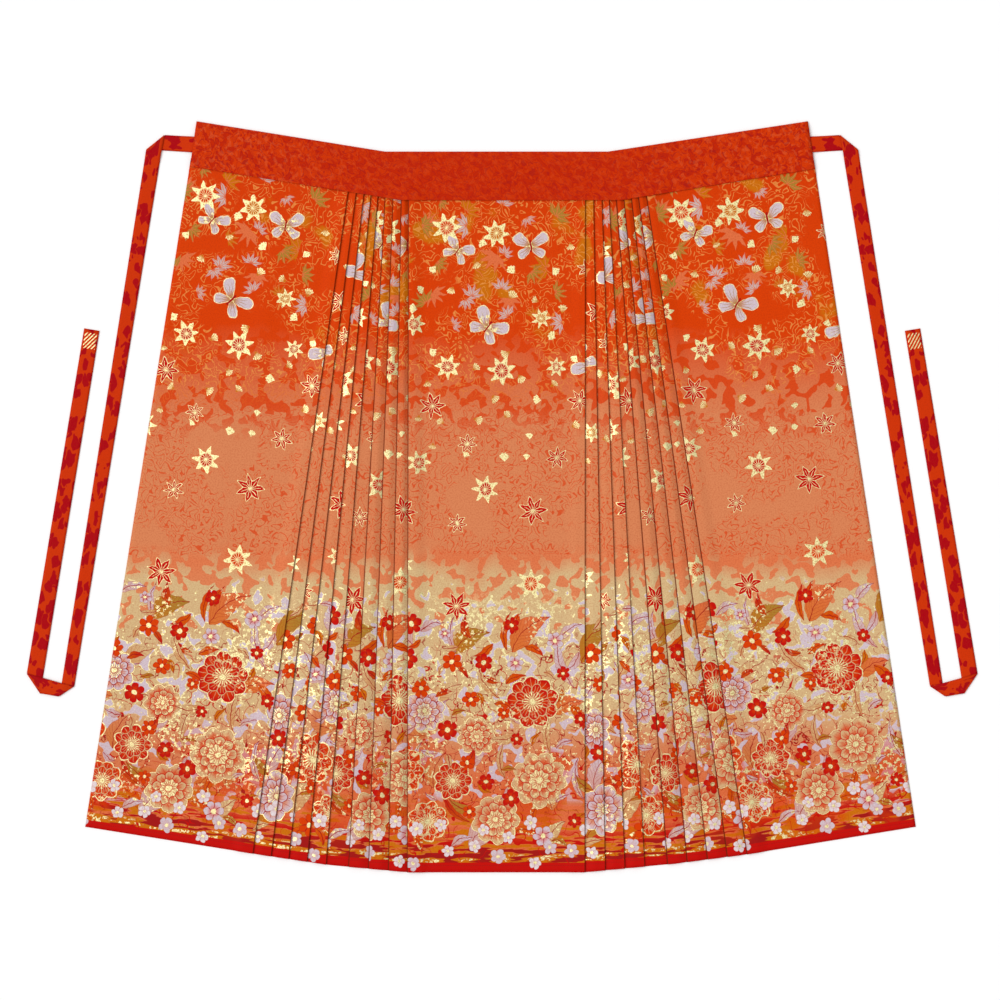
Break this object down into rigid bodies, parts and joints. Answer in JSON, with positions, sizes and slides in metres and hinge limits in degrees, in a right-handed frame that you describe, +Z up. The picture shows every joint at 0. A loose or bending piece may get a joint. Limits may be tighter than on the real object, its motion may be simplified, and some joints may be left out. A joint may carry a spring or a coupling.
{
  "type": "horse-face skirt",
  "caption": "Long wrap skirt laid out flat: smooth end and centre panels, knife pleats between them, a bent waistband and two folded ties.",
  "frame": {"origin": "on the surface that the skirt lies on, below the middle of its outline", "axes": "+Z up out of the surface and through the cloth, +Y towards the waistband, +X to the right seen from the front"},
  "size_m": [1.3194, 1.042, 0.0075],
  "materials": {
    "skirt_brocade": "satin brocade, orange at the waist fading to cream and a flowered red hem, with gold foil thread",
    "band_brocade": "orange-red satin brocade with a tone-on-tone mottle",
    "tie_brocade": "orange-red satin brocade with dark red patches"
  },
  "bodies": {
    "root": {"left_end_panel": "skirt_brocade", "left_pleats": "skirt_brocade", "under_panel": "skirt_brocade", "centre_panel": "skirt_brocade", "right_pleats": "skirt_brocade", "right_end_panel": "skirt_brocade", "waistband": "band_brocade", "left_tie": "tie_brocade", "right_tie": "tie_brocade"}
  },
  "joints": []
}
